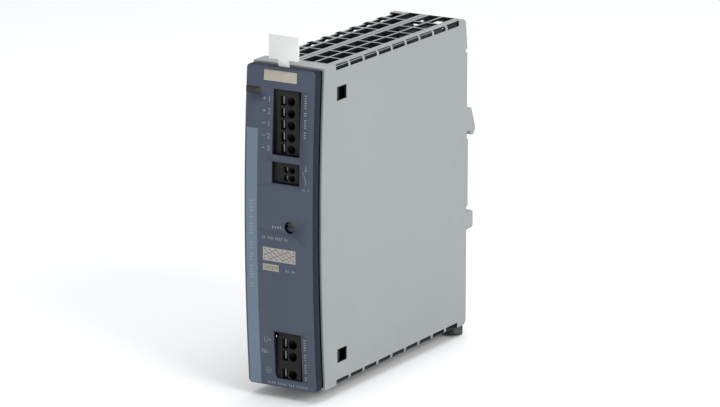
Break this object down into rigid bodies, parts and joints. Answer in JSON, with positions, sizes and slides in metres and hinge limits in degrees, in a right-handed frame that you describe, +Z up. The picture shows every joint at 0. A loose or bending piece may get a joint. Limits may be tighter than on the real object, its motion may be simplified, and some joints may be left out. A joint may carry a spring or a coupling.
{
  "type": "din rail power supply",
  "caption": "Slim power supply for a 35 mm rail: light grey vented half shells, bowed blue-grey front, black push-in terminals, trimmer, marking tag and a sprung rail latch.",
  "frame": {"origin": "middle of the face that seats on the rail, level with the rail's middle line", "axes": "+X to the right seen from the front, +Y out of the back towards the rail, +Z up; the front faces -Y"},
  "size_m": [0.034, 0.1309, 0.1523],
  "materials": {
    "shell": "fine moulded grain",
    "cover": "fine moulded grain",
    "smoked": "smooth",
    "clear": "smooth",
    "plate": "satin foil",
    "tag": "smooth",
    "terminal": "moulded",
    "tin": "satin",
    "steel": "bright",
    "board": "solder mask",
    "trimmer": "smooth",
    "ferrite": "sintered",
    "copper": "enamelled",
    "film": "smooth",
    "ceramic": "glazed",
    "sleeve": "shrunk sleeve",
    "aluminium": "extruded",
    "epoxy": "moulded",
    "tape": "polyester tape",
    "relay": "moulded",
    "latch": "moulded"
  },
  "bodies": {
    "housing": {"housing_right": "shell", "housing_left": "shell", "front_cover": "cover", "status_window": "smoked", "light_guide": "clear", "name_plate": "plate", "marking_tag": "tag", "output_block": "terminal", "output_1_contact": "tin", "output_2_contact": "tin", "output_3_contact": "tin", "output_4_contact": "tin", "output_5_contact": "tin", "signal_block": "terminal", "signal_1_contact": "tin", "signal_2_contact": "tin", "input_block": "terminal", "input_1_contact": "tin", "input_2_contact": "tin", "input_3_contact": "tin", "circuit_board": "board", "trimmer_body": "trimmer", "choke_core": "ferrite", "choke_winding": "copper", "choke_winding_return": "copper", "film_capacitor": "film", "fuse": "ceramic", "bulk_capacitor": "sleeve", "primary_heat_sink": "aluminium", "switching_transistor": "epoxy", "transformer_core": "ferrite", "transformer_winding": "tape", "secondary_heat_sink": "aluminium", "output_rectifier": "epoxy", "output_capacitor_1": "sleeve", "output_capacitor_2": "sleeve", "output_capacitor_3": "sleeve", "signal_relay": "relay", "latch_spring": "steel"},
    "latch": {"rail_latch": "latch"},
    "trimmer": {"trimmer_adjuster": "trimmer"},
    "output_1_clamp": {"output_1_spring_leaf": "steel"},
    "output_2_clamp": {"output_2_spring_leaf": "steel"},
    "output_3_clamp": {"output_3_spring_leaf": "steel"},
    "output_4_clamp": {"output_4_spring_leaf": "steel"},
    "output_5_clamp": {"output_5_spring_leaf": "steel"},
    "signal_1_clamp": {"signal_1_spring_leaf": "steel"},
    "signal_2_clamp": {"signal_2_spring_leaf": "steel"},
    "input_1_clamp": {"input_1_spring_leaf": "steel"},
    "input_2_clamp": {"input_2_spring_leaf": "steel"},
    "input_3_clamp": {"input_3_spring_leaf": "steel"}
  },
  "joints": [
    {"name": "latch_slide", "type": "slide", "parent": "housing", "child": "latch", "axis": [0, 0, -1], "range_m": [0, 0.004], "stiffness_N_per_m": 1500, "springref_m": -0.003, "deforming": ["latch_spring"]},
    {"name": "trimmer_turn", "type": "hinge", "parent": "housing", "child": "trimmer", "pos_m": [0.00535, -0.12, 0.0018], "axis": [0, -1, 0], "range_deg": [-135, 135]},
    {"name": "output_1_clamp", "type": "hinge", "parent": "housing", "child": "output_1_clamp", "pos_m": [0.00025, -0.12022, 0], "axis": [0, 0, 1], "range_deg": [0, 26], "stiffness_Nm_per_rad": 0.06, "springref_deg": -22.92},
    {"name": "output_2_clamp", "type": "hinge", "parent": "housing", "child": "output_2_clamp", "pos_m": [0.00025, -0.12022, 0], "axis": [0, 0, 1], "range_deg": [0, 26], "stiffness_Nm_per_rad": 0.06, "springref_deg": -22.92},
    {"name": "output_3_clamp", "type": "hinge", "parent": "housing", "child": "output_3_clamp", "pos_m": [0.00025, -0.12022, 0], "axis": [0, 0, 1], "range_deg": [0, 26], "stiffness_Nm_per_rad": 0.06, "springref_deg": -22.92},
    {"name": "output_4_clamp", "type": "hinge", "parent": "housing", "child": "output_4_clamp", "pos_m": [0.00025, -0.12022, 0], "axis": [0, 0, 1], "range_deg": [0, 26], "stiffness_Nm_per_rad": 0.06, "springref_deg": -22.92},
    {"name": "output_5_clamp", "type": "hinge", "parent": "housing", "child": "output_5_clamp", "pos_m": [0.00025, -0.12022, 0], "axis": [0, 0, 1], "range_deg": [0, 26], "stiffness_Nm_per_rad": 0.06, "springref_deg": -22.92},
    {"name": "signal_1_clamp", "type": "hinge", "parent": "housing", "child": "signal_1_clamp", "pos_m": [0.0023, -0.1211, 0], "axis": [0, 0, 1], "range_deg": [0, 26], "stiffness_Nm_per_rad": 0.06, "springref_deg": -22.92},
    {"name": "signal_2_clamp", "type": "hinge", "parent": "housing", "child": "signal_2_clamp", "pos_m": [0.0023, -0.1211, 0], "axis": [0, 0, 1], "range_deg": [0, 26], "stiffness_Nm_per_rad": 0.06, "springref_deg": -22.92},
    {"name": "input_1_clamp", "type": "hinge", "parent": "housing", "child": "input_1_clamp", "pos_m": [0.0002, -0.1197, 0], "axis": [0, 0, 1], "range_deg": [0, 26], "stiffness_Nm_per_rad": 0.06, "springref_deg": -22.92},
    {"name": "input_2_clamp", "type": "hinge", "parent": "housing", "child": "input_2_clamp", "pos_m": [0.0002, -0.1197, 0], "axis": [0, 0, 1], "range_deg": [0, 26], "stiffness_Nm_per_rad": 0.06, "springref_deg": -22.92},
    {"name": "input_3_clamp", "type": "hinge", "parent": "housing", "child": "input_3_clamp", "pos_m": [0.0002, -0.1197, 0], "axis": [0, 0, 1], "range_deg": [0, 26], "stiffness_Nm_per_rad": 0.06, "springref_deg": -22.92}
  ]
}
